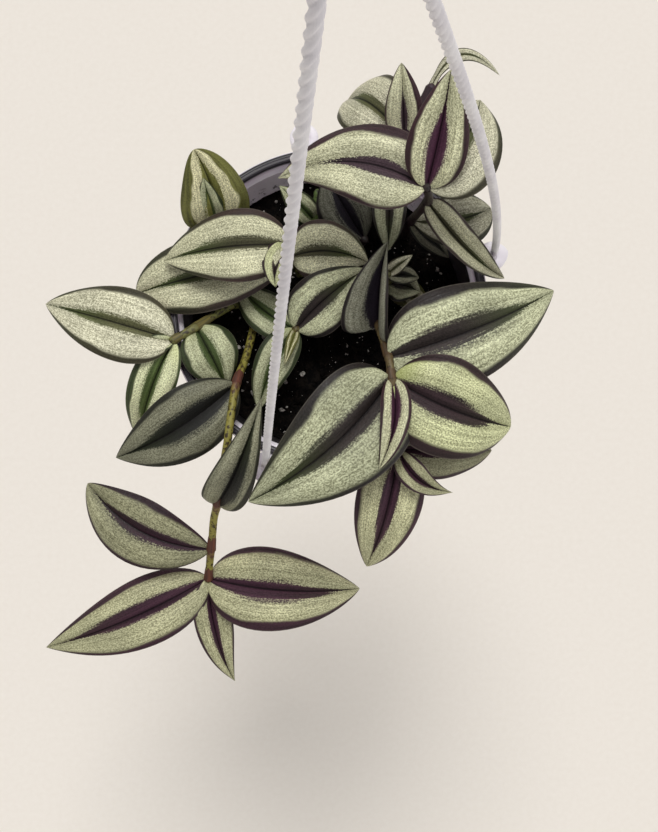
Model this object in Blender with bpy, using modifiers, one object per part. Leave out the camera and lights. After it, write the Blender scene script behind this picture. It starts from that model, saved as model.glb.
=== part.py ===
# Silver inch plant in a small white hanging pot.
# Metres, +Z up. The origin is where the hook bears on what it hangs from, straight above
# the middle of the pot. Everything is laid out in millimetres from the middle of the rim.

import math
from collections import namedtuple

import bmesh
import bpy
from mathutils import Matrix, Vector

MM = 0.001
GAP = 0.3
MERGE = 0.00002

# Pot: rim, wall and base
RIM_DROP = 360.0
RIM_RADIUS = 60.0
RIM_WIDTH = 3.4
LIP_HEIGHT = 7.0
WALL = 1.6
POT_HEIGHT = 95.0
BASE_RADIUS = 43.0
FLOOR = 2.0
POT_SIDES = 48
DRAIN_HOLES = 6
DRAIN_RADIUS = 1.8
DRAIN_RING = 27.0

# Ears on the rim, which the strands hang from
EAR_ANGLES = {"left": 249.0, "right": 17.0, "back": 98.0}
EAR_RADIUS = 64.6
EAR_PAD = 5.4
EAR_NOSE = 6.2
EAR_THICK = 2.6

# Hanger: strands, hub and hook
STRAND_RADIUS = 1.4
STRAND_BOW = {"left": 2.0, "right": 5.3, "back": 2.0}
KNOB_RADIUS = 2.5
HUB_HEIGHT = 315.0
HUB_RING = 6.2
HUB_RADIUS = 9.6
HUB_THICK = 4.0
STRAND_SPANS = 12
HOOK_WIRE = 2.2
HOOK_BEND = 11.2
HOOK_MOUTH = 205
HOOK_LEAN = 3.0

# Soil
SOIL_DROP = 20.0
SOIL_MOUND = 2.5
SOIL_LUMP = 0.7
SOIL_RINGS = 5
SOIL_SIDES = 32
STEM_DEPTH = 14.0
STEM_PLAY = 0.4

# Stems and leaves
STEM_RADIUS = 1.5
STEM_STEPS = 3
NODE_SWELL = 1.3
LEAF_THICK = 0.8
LEAF_NECK = 1.5
LEAF_CURL = 0.16
ROOT_STEP = 0.25
LEAF_LENGTHWISE = 7
LEAF_CROSSWISE = 4

# A leaf grows from point number `at` of its stem's route to its tip. Its right side, seen
# from the stem, is raised by `roll` degrees. The midrib rises by `arch` and swings to the
# right by `bend` millimetres half way along. Each half is folded up by `fold` degrees, and
# the blade is widest at `belly` of its length.
Leaf = namedtuple("Leaf", "at tip width roll arch fold bend belly point",
                  defaults=(0, 4, 12, 0, 0.37, 0.85))

STEMS = {
    "trailing_stem": {
        "route": [(-28, -5, -12), (-31, -20, -4), (-34, -30, 3), (-36, -46, 7), (-38, -58, 4),
                  (-42, -74, -13), (-44, -81, -21), (-46, -92, -34), (-48, -104, -45)],
        "leaves": [
            Leaf(2, (-79, -57, -3), 27, 10, 5, 10, -2.5, 0.41, 0.9),
            Leaf(5, (-24, -36, 14), 18.5, -6, 10, 22, 1.7, 0.28, 0.95),
            Leaf(7, (-94, -66, -28), 28, 16, 5, 12, -5.5, 0.5, 0.75),
            Leaf(8, (-114, -132, -50), 28, -6, 5, 10, -3, 0.37, 1.0),
            Leaf(8, (13, -108, -44), 34, 6, 5, 10, 3),
            Leaf(8, (-38, -147, -60), 17, 10, 4, 24, 3, 0.33, 1.1),
        ],
    },
    "front_right_stem": {
        "route": [(19, 2, -12), (19, -8, 2), (22, -21, 12), (23, -29, 14), (25, -42, 11), (26, -54, 5)],
        "leaves": [
            Leaf(2, (83, 4, 9), 37.5, -8, 5, 8, 2, 0.34),
            Leaf(3, (67, -46, 6), 37, -4, 6, 10, 2.5, 0.42, 0.65),
            Leaf(3, (-28.5, -73.5, 16), 41, 10, 5, 18, -4, 0.3),
            Leaf(3, (18, -62, 21), 13, 0, 3, 30, -3),
            Leaf(5, (62, -54, -9), 22, -10, 3, 10),
            Leaf(5, (15, -98, -18), 25.5, 0, 4, 12, -1.5, 0.37, 0.8),
            Leaf(5, (46, -70, 4), 12, 0, 3, 30, 4.5, 0.37, 1.3),
            Leaf(1, (21, 18, 30), 34, 26, 0, 54, -1.5, 0.16),
        ],
    },
    "left_stem": {
        "route": [(-33, 2, -12), (-38, 0, -6), (-49, -9, 4), (-57, -14, 6)],
        "leaves": [
            Leaf(3, (-105, 0, 2), 28, 0, 4, 10),
            Leaf(3, (-74, -19, 5), 8, 0, 1, 25),
            Leaf(3, (-72, -50, -16), 19, 0, 4, 22, 1.5),
            Leaf(2, (-38, -31, -4), 22, 10, 3, 12),
        ],
    },
    "upper_left_stem": {
        "route": [(-11, 15, -12), (-14, 18, 1), (-14, 20, 13)],
        "leaves": [
            Leaf(2, (-60.5, 15, 8), 27.5, 0, 4, 10, 1.5),
            Leaf(1, (15, 15, 5), 24, 0, 2, 12, -3),
            Leaf(2, (-19, 4, 16), 12, 0, 1, 20, 2.5),
            Leaf(1, (-71.5, 4, 1), 29, 0, 2, 10, 1, 0.55, 0.6),
        ],
    },
    "rim_stem": {
        "route": [(-36, 25, -12), (-42, 29, 0)],
        "leaves": [
            Leaf(1, (-48, 52, 25), 26, 0, 2, 10, 2.4, 0.3, 0.6),
            Leaf(1, (-45, 43, 20), 11, 0, 1, 16),
            Leaf(1, (-33, 34, 8), 5, 0, 1, 25),
        ],
    },
    "middle_stem": {
        "route": [(-8, -4, -12), (-12, -9, -2)],
        "leaves": [
            Leaf(1, (14, 12, 9), 22.5, -6, 3, 10, -1.5),
            Leaf(1, (-26, -39, -5), 15.5, 0, 3, 16, 2),
            Leaf(1, (-34, 9.5, -9), 17, 0, 2, 12, -2),
            Leaf(1, (-16, -23, 5), 5, 0, 2, 30),
        ],
    },
    "tall_stem": {
        "route": [(30, 30, -12), (31, 31, 5), (35, 32, 30), (33, 32, 50)],
        "leaves": [
            Leaf(3, (-17.5, 37.5, 40), 29, 0, 5, 8, 6, 0.3, 1.05),
            Leaf(3, (39, 64, 74), 22, 0, 2, 22, 0.5, 0.38),
            Leaf(3, (52, 64, 44), 30, 0, 4, 10, 3),
            Leaf(2, (66, 10, 1), 14.5, 0, 3, 32, 3, 0.28),
            Leaf(1, (60.5, 35.5, 6), 22, 0, 3, 12, 3, 0.6, 0.7),
            Leaf(1, (46, 19, -5), 9, 0, 1, 12),
        ],
    },
    "back_stem": {
        "route": [(20, 38, -12), (23, 46, 6), (27, 55, 28), (36, 71.5, 34)],
        "leaves": [
            Leaf(2, (7, 73.4, 14), 26, 0, 9, 8, 1, 0.5, 0.7),
            Leaf(2, (25, 77, 44), 14, 0, 2, 16),
            Leaf(3, (60.8, 77.5, 30), 5, 0, 3, 10, -9, 0.5),
            Leaf(1, (22.5, 20.5, 0), 13.5, 0, 3, 16),
        ],
    },
    "centre_stem": {
        "route": [(12, 25, -14), (14, 27, -10)],
        "leaves": [
            Leaf(1, (-1, 47, 9), 22, 14, 1, 12, 0, 0.5),
        ],
    },
    "slim_stem": {
        "route": [(-5, 30, -13), (-5, 33, -6), (-4, 43, -2)],
        "leaves": [
            Leaf(1, (-18, 43, 9), 11, 0, 2, 12),
        ],
    },
    "low_stem": {
        "route": [(23, 10, -13), (23, 10, -6), (22, 11, 5)],
        "leaves": [
            Leaf(1, (35, 6, -5), 14, 0, 2, 12),
            Leaf(1, (39, 1, -10), 12, 0, 1, 12),
            Leaf(2, (34, 10, 2), 8, 0, 2, 20),
            Leaf(2, (31, 17, 10), 6, 0, 1, 20),
            Leaf(2, (15, 15, 9), 5, 0, 1, 20),
        ],
    },
}


def place(x, y, z):
    return Vector((x, y, z - RIM_DROP)) * MM


def polar(radius, degrees, z):
    angle = math.radians(degrees)
    return (radius * math.cos(angle), radius * math.sin(angle), z)


def clear_scene():
    for thing in list(bpy.data.objects):
        bpy.data.objects.remove(thing, do_unlink=True)


def make_collection(name):
    group = bpy.data.collections.new(name)
    bpy.context.scene.collection.children.link(group)
    return group


def make_material(name, colour, roughness):
    material = bpy.data.materials.new(name)
    material.use_nodes = True
    shader = material.node_tree.nodes["Principled BSDF"]
    shader.inputs["Base Color"].default_value = (*colour, 1.0)
    shader.inputs["Roughness"].default_value = roughness
    shader.inputs["Metallic"].default_value = 0.0
    return material


def mesh_object(name, mesh, group):
    thing = bpy.data.objects.new(name, mesh)
    group.objects.link(thing)
    return thing


def object_from_bmesh(name, work, group):
    mesh = bpy.data.meshes.new(name)
    work.to_mesh(mesh)
    work.free()
    return mesh_object(name, mesh, group)


def evaluated_mesh(thing):
    bpy.context.view_layer.update()
    depsgraph = bpy.context.evaluated_depsgraph_get()
    return bpy.data.meshes.new_from_object(thing.evaluated_get(depsgraph))


def apply_modifiers(thing):
    mesh = evaluated_mesh(thing)
    thing.modifiers.clear()
    thing.data = mesh


def boolean(thing, group, operation):
    modifier = thing.modifiers.new(operation.title(), "BOOLEAN")
    modifier.operand_type = "COLLECTION"
    modifier.collection = group
    modifier.operation = operation
    modifier.solver = "EXACT"


def fuse(thing, group):
    boolean(thing, group, "UNION")
    apply_modifiers(thing)
    for extra in list(group.objects):
        bpy.data.objects.remove(extra, do_unlink=True)
    bpy.data.collections.remove(group)


def turned(name, profile, sides, group):
    mesh = bpy.data.meshes.new(name)
    points = [place(r, 0, z) for r, z in profile]
    mesh.from_pydata(points, [(i, i + 1) for i in range(len(points) - 1)], [])
    thing = mesh_object(name, mesh, group)
    screw = thing.modifiers.new("Turn", "SCREW")
    screw.steps = sides
    screw.render_steps = sides
    screw.use_merge_vertices = True
    screw.merge_threshold = MERGE
    apply_modifiers(thing)
    return thing


def smooth_route(points, steps):
    """Points on one smooth curve through the given points."""
    ends = [points[0]] + list(points) + [points[-1]]
    curve = []
    for a, b, c, d in zip(ends, ends[1:], ends[2:], ends[3:]):
        for i in range(steps):
            t = i / steps
            curve.append(0.5 * (2 * b + (c - a) * t + (2 * a - 5 * b + 4 * c - d) * t * t
                                + (3 * b - a - 3 * c + d) * t * t * t))
    curve.append(points[-1])
    return curve


def tube(name, points, radii, resolution, group):
    curve = bpy.data.curves.new(name, "CURVE")
    curve.dimensions = "3D"
    curve.bevel_depth = MM
    curve.bevel_resolution = resolution
    curve.use_fill_caps = True
    spline = curve.splines.new("POLY")
    spline.points.add(len(points) - 1)
    for point, where, radius in zip(spline.points, points, radii):
        point.co = (*where, 1.0)
        point.radius = radius
    guide = mesh_object(name + "_guide", curve, group)
    mesh = evaluated_mesh(guide)
    bpy.data.objects.remove(guide, do_unlink=True)
    work = bmesh.new()
    work.from_mesh(mesh)
    bmesh.ops.remove_doubles(work, verts=work.verts, dist=MERGE)
    bmesh.ops.recalc_face_normals(work, faces=work.faces)
    return object_from_bmesh(name, work, group)


def knob(name, centre, group):
    work = bmesh.new()
    bmesh.ops.create_uvsphere(work, u_segments=8, v_segments=6, radius=KNOB_RADIUS * MM)
    bmesh.ops.translate(work, verts=work.verts, vec=place(*centre))
    return object_from_bmesh(name, work, group)


def cylinder(name, radius, centre, low, high, sides, group):
    work = bmesh.new()
    bmesh.ops.create_cone(work, cap_ends=True, segments=sides, radius1=radius * MM,
                          radius2=radius * MM, depth=(high - low) * MM)
    middle = place(centre[0], centre[1], (low + high) / 2)
    bmesh.ops.translate(work, verts=work.verts, vec=middle)
    return object_from_bmesh(name, work, group)


def cutter_group(name, cutters):
    group = bpy.data.collections.new(name)
    cutters.children.link(group)
    return group


def hide_cutters(group):
    for thing in group.objects:
        thing.hide_render = True
        thing.display_type = "WIRE"


# Pot

def wall_inside(z):
    """Radius of the pot's inner wall at a height."""
    top = RIM_RADIUS - RIM_WIDTH - 1.0
    bottom = BASE_RADIUS - WALL
    return bottom + (top - bottom) * (z + POT_HEIGHT) / POT_HEIGHT


def pot_profile():
    """The wall cut through: up its inside, over the grooved rim and down its outside."""
    inner = RIM_RADIUS - RIM_WIDTH
    floor = FLOOR - POT_HEIGHT
    rim_foot = 5.0
    edge = 0.5
    groove = inner + 1.7
    return [
        (0, floor), (wall_inside(floor) - WALL, floor), (wall_inside(floor + WALL), floor + WALL),
        (wall_inside(-rim_foot), -rim_foot), (inner - 0.2, edge - rim_foot), (inner, -2 * edge),
        (inner + edge, 0), (groove - edge, 0), (groove, -edge), (groove + edge, -edge),
        (groove + 2 * edge, 0), (RIM_RADIUS - edge, 0), (RIM_RADIUS, -edge),
        (RIM_RADIUS, edge - LIP_HEIGHT), (RIM_RADIUS - edge, -LIP_HEIGHT),
        (wall_inside(-LIP_HEIGHT - 1) + WALL, -LIP_HEIGHT), (BASE_RADIUS, 1 - POT_HEIGHT),
        (BASE_RADIUS - 1, -POT_HEIGHT), (0, -POT_HEIGHT),
    ]


def ear(name, degrees, group):
    """A flat pad with a pointed nose, standing out from the rim."""
    work = bmesh.new()
    outline = [polar(EAR_PAD, a, -EAR_THICK) for a in range(40, 321, 20)]
    outline.append((EAR_NOSE, 0, -EAR_THICK))
    ring = [work.verts.new(Vector(p) * MM) for p in outline]
    face = work.faces.new(ring)
    made = bmesh.ops.extrude_face_region(work, geom=[face])
    top = [v for v in made["geom"] if isinstance(v, bmesh.types.BMVert)]
    bmesh.ops.translate(work, verts=top, vec=(0, 0, (EAR_THICK - 0.2) * MM))
    turn = Matrix.Rotation(math.radians(degrees), 4, "Z")
    bmesh.ops.transform(work, matrix=turn, verts=work.verts)
    bmesh.ops.translate(work, verts=work.verts, vec=place(*polar(EAR_RADIUS, degrees, 0)))
    bmesh.ops.recalc_face_normals(work, faces=work.faces)
    return object_from_bmesh(name, work, group)


def make_pot(parts, cutters):
    pot = turned("pot", pot_profile(), POT_SIDES, parts)
    ears = make_collection("ears")
    for side, degrees in EAR_ANGLES.items():
        ear("ear_" + side, degrees, ears)
    fuse(pot, ears)
    holes = cutter_group("pot_cutters", cutters)
    for side, degrees in EAR_ANGLES.items():
        cylinder("ear_hole_" + side, STRAND_RADIUS + GAP, polar(EAR_RADIUS, degrees, 0),
                 -EAR_THICK - 2, 2, 16, holes)
    for i in range(DRAIN_HOLES):
        cylinder("drain_hole_%d" % i, DRAIN_RADIUS, polar(DRAIN_RING, i * 360 / DRAIN_HOLES, 0),
                 -POT_HEIGHT - 2, FLOOR - POT_HEIGHT + 2, 12, holes)
    hide_cutters(holes)
    boolean(pot, holes, "DIFFERENCE")
    pot.data.materials.append(make_material("pot_plastic", (0.80, 0.78, 0.80), 0.35))


# Hanger

def strand_point(side, height):
    """A point of a strand: a straight run from its ear to the hub, bowed outwards."""
    t = height / HUB_HEIGHT
    radius = EAR_RADIUS + (HUB_RING - EAR_RADIUS) * t
    radius += STRAND_BOW[side] * math.sin(math.pi * max(t, 0.0) ** 0.75)
    return polar(radius, EAR_ANGLES[side], height)


def make_strand(side, parts):
    foot = -EAR_THICK - GAP - KNOB_RADIUS
    head = HUB_HEIGHT + HUB_THICK + GAP + KNOB_RADIUS
    spans = [HUB_HEIGHT * i / STRAND_SPANS for i in range(STRAND_SPANS + 1)]
    heights = [foot] + spans + [head]
    points = [strand_point(side, min(max(h, 0.0), HUB_HEIGHT)) for h in heights]
    points = [place(x, y, h) for (x, y, z), h in zip(points, heights)]
    strand = tube("hanger_strand_" + side, points, [STRAND_RADIUS] * len(points), 2, parts)
    knobs = make_collection("knobs")
    knob("foot", (*strand_point(side, 0)[:2], foot), knobs)
    knob("head", (*strand_point(side, HUB_HEIGHT)[:2], head), knobs)
    fuse(strand, knobs)
    strand.data.materials.append(make_material("strand_plastic_" + side, (0.80, 0.79, 0.82), 0.4))


def make_hook(parts, cutters):
    hook = cylinder("hanger_hook", HUB_RADIUS, (0, 0), HUB_HEIGHT, HUB_HEIGHT + HUB_THICK, 32, parts)
    centre = RIM_DROP - HOOK_BEND + HOOK_WIRE
    neck = HUB_HEIGHT + HUB_THICK
    route = [(0, 0, neck - 3), (0, 0, neck + 6), (HOOK_LEAN, 0, neck + 14)]
    for degrees in range(-30, HOOK_MOUTH + 1, 15):
        x, z, _ = polar(HOOK_BEND, degrees, 0)
        route.append((x, 0, centre + z))
    points = smooth_route([place(*p) for p in route], 2)
    wires = make_collection("wires")
    tube("crook", points, [HOOK_WIRE] * len(points), 3, wires)
    fuse(hook, wires)
    holes = cutter_group("hub_cutters", cutters)
    for side, degrees in EAR_ANGLES.items():
        cylinder("hub_hole_" + side, STRAND_RADIUS + GAP, polar(HUB_RING, degrees, 0),
                 HUB_HEIGHT - 2, HUB_HEIGHT + HUB_THICK + 2, 16, holes)
    hide_cutters(holes)
    boolean(hook, holes, "DIFFERENCE")
    hook.data.materials.append(make_material("hook_plastic", (0.80, 0.79, 0.82), 0.4))


# Soil

def make_soil(parts, cutters):
    floor = FLOOR - POT_HEIGHT + GAP
    top = -SOIL_DROP
    edge = wall_inside(top) - GAP
    corner = WALL + 2 * GAP
    profile = [(edge * i / SOIL_RINGS, top) for i in range(SOIL_RINGS + 1)]
    profile.append((wall_inside(floor + corner) - GAP, floor + corner))
    profile += [(wall_inside(floor) - corner, floor), (0, floor)]
    soil = turned("soil", profile, SOIL_SIDES, parts)
    surface = place(0, 0, top - 0.5).z
    for vertex in soil.data.vertices:
        x, y = vertex.co.x / MM, vertex.co.y / MM
        inward = 1 - (x * x + y * y) / (edge * edge)
        if vertex.co.z > surface and inward > 0.01:
            lump = math.sin(x * 0.31 + 1.0) * math.sin(y * 0.27 + x * 0.11)
            vertex.co.z += (SOIL_MOUND * inward + SOIL_LUMP * lump) * MM
    holes = cutter_group("soil_cutters", cutters)
    for name, stem in STEMS.items():
        x, y = stem["route"][0][:2]
        cylinder(name + "_hole", STEM_RADIUS + STEM_PLAY, (x, y), top - STEM_DEPTH - GAP,
                 top + STEM_DEPTH, 12, holes)
    hide_cutters(holes)
    boolean(soil, holes, "DIFFERENCE")
    soil.data.materials.append(make_material("soil", (0.012, 0.010, 0.009), 0.95))


# Stems and leaves

def leaf_breadth(t, belly, point):
    """Half width of a blade at t along it, as a share of its widest: round base, sharp tip."""
    round_base = point * belly / (1 - belly)
    most = belly ** round_base * (1 - belly) ** point
    return t ** round_base * (1 - t) ** point / most


def leaf_axes(base, tip, roll):
    """Length, and the directions along a blade, to its right and out of its upper face."""
    along = tip - base
    length = along.length
    along.normalize()
    right = along.cross(Vector((0, 0, 1))).normalized()
    up = right.cross(along)
    turn = math.radians(roll)
    raised = right * math.cos(turn) + up * math.sin(turn)
    return length, along, raised, raised.cross(along)


def leaf_point(leaf, base, t, u):
    """A point of the blade: t from base to tip, u from its left margin to its right."""
    length, along, right, up = leaf_axes(base, Vector(leaf.tip), leaf.roll)
    bow = up * leaf.arch + right * leaf.bend
    middle = base + along * (length * t) + bow * (4 * t * (1 - t))
    heading = (along * length + bow * (4 - 8 * t)).normalized()
    side = (right - heading * right.dot(heading)).normalized()
    out = side.cross(heading)
    half = max(leaf.width / 2 * leaf_breadth(t, leaf.belly, leaf.point), LEAF_NECK * (1 - t))
    fold = math.radians(leaf.fold)
    spread = abs(u)
    rise = half * (math.sin(fold) * spread - LEAF_CURL * spread ** 3)
    return middle + side * (half * u * math.cos(fold)) + out * rise


def make_leaf(name, leaf, base, group):
    work = bmesh.new()
    bmesh.ops.create_grid(work, x_segments=LEAF_CROSSWISE, y_segments=LEAF_LENGTHWISE, size=1)
    ends = [v for v in work.verts if v.co.y > 0.999]
    for vertex in work.verts:
        t = (1 - math.cos(math.pi * (vertex.co.y + 1) / 2)) / 2
        vertex.co = place(*leaf_point(leaf, base, t, vertex.co.x))
    bmesh.ops.pointmerge(work, verts=ends, merge_co=place(*leaf.tip))
    bmesh.ops.triangulate(work, faces=work.faces, quad_method="FIXED")
    bmesh.ops.solidify(work, geom=work.faces, thickness=LEAF_THICK * MM)
    bmesh.ops.recalc_face_normals(work, faces=work.faces)
    return object_from_bmesh(name, work, group)


def make_stem(name, stem, parts):
    x, y = stem["route"][0][:2]
    route = [Vector((x, y, -SOIL_DROP - STEM_DEPTH)), Vector((x, y, -SOIL_DROP + 1))]
    route += [Vector(p) for p in stem["route"]]
    points = [place(*p) for p in smooth_route(route, STEM_STEPS)]
    radii = [STEM_RADIUS] * len(points)
    buried = 2
    for leaf in stem["leaves"]:
        radii[(leaf.at + buried) * STEM_STEPS] = STEM_RADIUS * NODE_SWELL
    body = tube(name, points, radii, 2, parts)
    blades = make_collection("blades")
    for i, leaf in enumerate(stem["leaves"]):
        root = Vector(stem["route"][leaf.at]) - Vector((0, 0, ROOT_STEP * i))
        make_leaf("blade_%d" % i, leaf, root, blades)
    fuse(body, blades)
    body.data.materials.append(make_material(name + "_green", (0.30, 0.36, 0.22), 0.5))


def build():
    clear_scene()
    parts = make_collection("silver_inch_plant")
    cutters = make_collection("cutters")
    make_pot(parts, cutters)
    make_soil(parts, cutters)
    for side in EAR_ANGLES:
        make_strand(side, parts)
    make_hook(parts, cutters)
    for name, stem in STEMS.items():
        make_stem(name, stem, parts)


build()
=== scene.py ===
import math
import random
from collections import namedtuple

import bmesh
import bpy
from mathutils import Matrix, Vector, noise


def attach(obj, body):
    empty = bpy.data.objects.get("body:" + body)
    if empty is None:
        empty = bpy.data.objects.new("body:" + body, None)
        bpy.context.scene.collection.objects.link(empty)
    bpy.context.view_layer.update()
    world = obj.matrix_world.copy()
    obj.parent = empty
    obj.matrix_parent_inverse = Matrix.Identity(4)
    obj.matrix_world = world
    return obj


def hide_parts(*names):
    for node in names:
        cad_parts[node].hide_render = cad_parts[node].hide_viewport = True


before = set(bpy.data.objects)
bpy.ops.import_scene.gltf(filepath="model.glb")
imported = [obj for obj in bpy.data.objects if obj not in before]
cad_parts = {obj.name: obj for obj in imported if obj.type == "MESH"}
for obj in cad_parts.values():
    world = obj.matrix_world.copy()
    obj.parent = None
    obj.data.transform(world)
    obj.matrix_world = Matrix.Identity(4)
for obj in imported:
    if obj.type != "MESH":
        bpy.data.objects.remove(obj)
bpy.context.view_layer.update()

mm = 0.001
rimDrop = 360          # the rim hangs this far below the point that the hook bears on
print("frame loaded")


def place(x, y, z):
    return Vector((x, y, z - rimDrop)) * mm          # millimetres from the middle of the rim


def polar(radius, degrees, z):
    return (radius * math.cos(math.radians(degrees)), radius * math.sin(math.radians(degrees)), z)


def tint(red, green, blue):          # a screen colour, 0 to 255, as linear light
    return tuple(((c / 255 + 0.055) / 1.055) ** 2.4 for c in (red, green, blue))


# Material nodes

def newMaterial(name):
    material = bpy.data.materials.new(name)
    material.use_nodes = True
    return material, material.node_tree, material.node_tree.nodes["Principled BSDF"]


def feed(tree, socket, value):          # a socket is linked, and a plain value is set
    if isinstance(value, bpy.types.NodeSocket):
        tree.links.new(value, socket)
    elif hasattr(value, "__len__") and len(value) == 3 and socket.type == "RGBA":
        socket.default_value = (*value, 1)
    else:
        socket.default_value = value


def calc(tree, operation, a, b=0.0, c=0.0):
    node = tree.nodes.new("ShaderNodeMath")
    node.operation = operation
    for socket, value in zip(node.inputs, (a, b, c)):
        feed(tree, socket, value)
    return node.outputs[0]


def rise(tree, value, low, high, start=0.0, end=1.0):          # start below low, end above high
    node = tree.nodes.new("ShaderNodeMapRange")
    node.interpolation_type = "SMOOTHSTEP"
    for socket, number in zip(node.inputs, (value, low, high, start, end)):
        feed(tree, socket, number)
    return node.outputs[0]


def mix(tree, factor, a, b, blend="MIX"):
    node = tree.nodes.new("ShaderNodeMix")
    node.data_type = "RGBA"
    node.blend_type = blend
    feed(tree, node.inputs[0], factor)
    feed(tree, node.inputs[6], a)
    feed(tree, node.inputs[7], b)
    return node.outputs[2]


def attribute(tree, name):
    node = tree.nodes.new("ShaderNodeAttribute")
    node.attribute_name = name
    return node


def objectPoint(tree):
    return tree.nodes.new("ShaderNodeTexCoord").outputs["Object"]


def uvPair(tree, layer):
    node = tree.nodes.new("ShaderNodeUVMap")
    node.uv_map = layer
    split = tree.nodes.new("ShaderNodeSeparateXYZ")
    tree.links.new(node.outputs[0], split.inputs[0])
    return split.outputs[0], split.outputs[1]


def joined(tree, x, y, z=0.0):
    node = tree.nodes.new("ShaderNodeCombineXYZ")
    for socket, value in zip(node.inputs, (x, y, z)):
        feed(tree, socket, value)
    return node.outputs[0]


def scaled(tree, colour, amount):          # a colour lightened or darkened by a number
    return mix(tree, 1.0, colour, joined(tree, amount, amount, amount), "MULTIPLY")


def noisy(tree, vector, scale, detail=2.0, roughness=0.5, seed=None):
    node = tree.nodes.new("ShaderNodeTexNoise")
    tree.links.new(vector, node.inputs["Vector"])
    if seed is not None:
        node.noise_dimensions = "4D"
        feed(tree, node.inputs["W"], seed)
    node.inputs["Scale"].default_value = scale
    node.inputs["Detail"].default_value = detail
    node.inputs["Roughness"].default_value = roughness
    return node.outputs[0]


def bump(tree, shader, height, distance, strength):
    node = tree.nodes.new("ShaderNodeBump")
    node.inputs["Strength"].default_value = strength
    node.inputs["Distance"].default_value = distance
    tree.links.new(height, node.inputs["Height"])
    tree.links.new(node.outputs[0], shader.inputs["Normal"])


def around(tree, x, y, stretch, seed=None, detail=3.0):          # streaks along y of a u, v pair
    return noisy(tree, joined(tree, calc(tree, "MULTIPLY", x, stretch[0]),
                              calc(tree, "MULTIPLY", y, stretch[1])), 1.0, detail, 0.6, seed)


# Leaf finish: silver bands between a dark middle and a dark margin, and a purple underside

leafFinish = {
    "grainScale": 1900,
    "glints": (64, 84),          # across and along a leaf, as the streaks below
    "streaks": (20, 1.6),
    "fineStreaks": (60, 2.2),
    "drift": (1.3, 3.0),
    "raggedEdge": 0.26,
    "silverDull": tint(216, 214, 200),
    "silverGain": 1.18,
    "dullShare": 0.42,          # of the silver's mean light, between the glints
    "shares": (0.56, 0.22, 0.22),          # of the grain, fine lines and broad lines in the silver
    "tipGreen": tint(86, 100, 54),
    "edgeGreen": tint(62, 68, 42),
    "baseGreen": tint(176, 186, 104),
    "midrib": tint(14, 9, 12),
    "rimLine": tint(140, 132, 118),
    "underside": tint(104, 46, 92),
    "undersideDark": tint(58, 30, 54),
    "undersideRib": tint(126, 112, 84),
}


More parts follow.
